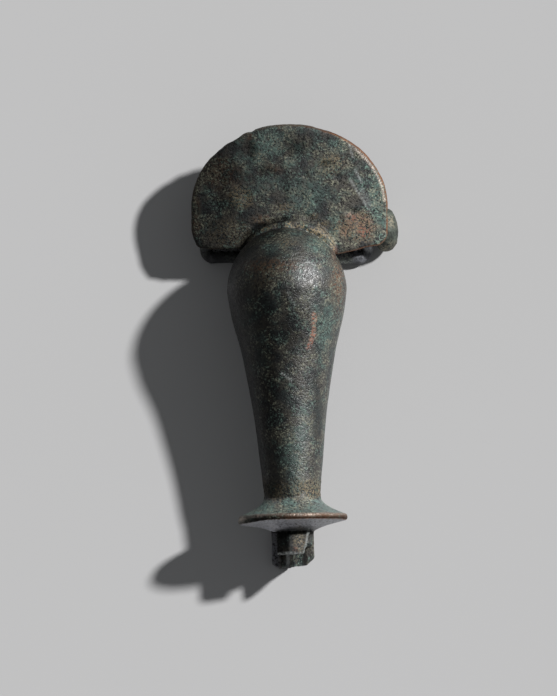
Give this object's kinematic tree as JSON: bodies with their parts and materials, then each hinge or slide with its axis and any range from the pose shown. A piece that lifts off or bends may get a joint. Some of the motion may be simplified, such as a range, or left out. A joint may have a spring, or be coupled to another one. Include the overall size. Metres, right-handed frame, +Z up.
{
  "type": "roman knee fibula brooch",
  "caption": "Roman cast bronze knee fibula with a half-round head plate, swollen bow, round disc, short foot and catch, and a coiled spring; the pin is lost.",
  "frame": {"origin": "middle of the box around the resting brooch, on the surface it lies on", "axes": "+X across the brooch to the side with the axis knob, +Y along it towards the head plate, +Z up"},
  "size_m": [0.0186, 0.0398, 0.0118],
  "materials": {
    "patinated_bronze": "dark green to brown patina, pitted, with bare copper at the rims",
    "corroded_spring_bronze": "dull grey-green corrosion",
    "corroded_rod_bronze": "crusty green and beige corrosion"
  },
  "bodies": {
    "root": {"brooch_body": "patinated_bronze", "spring": "corroded_spring_bronze", "axis_bar": "corroded_rod_bronze"}
  },
  "joints": []
}
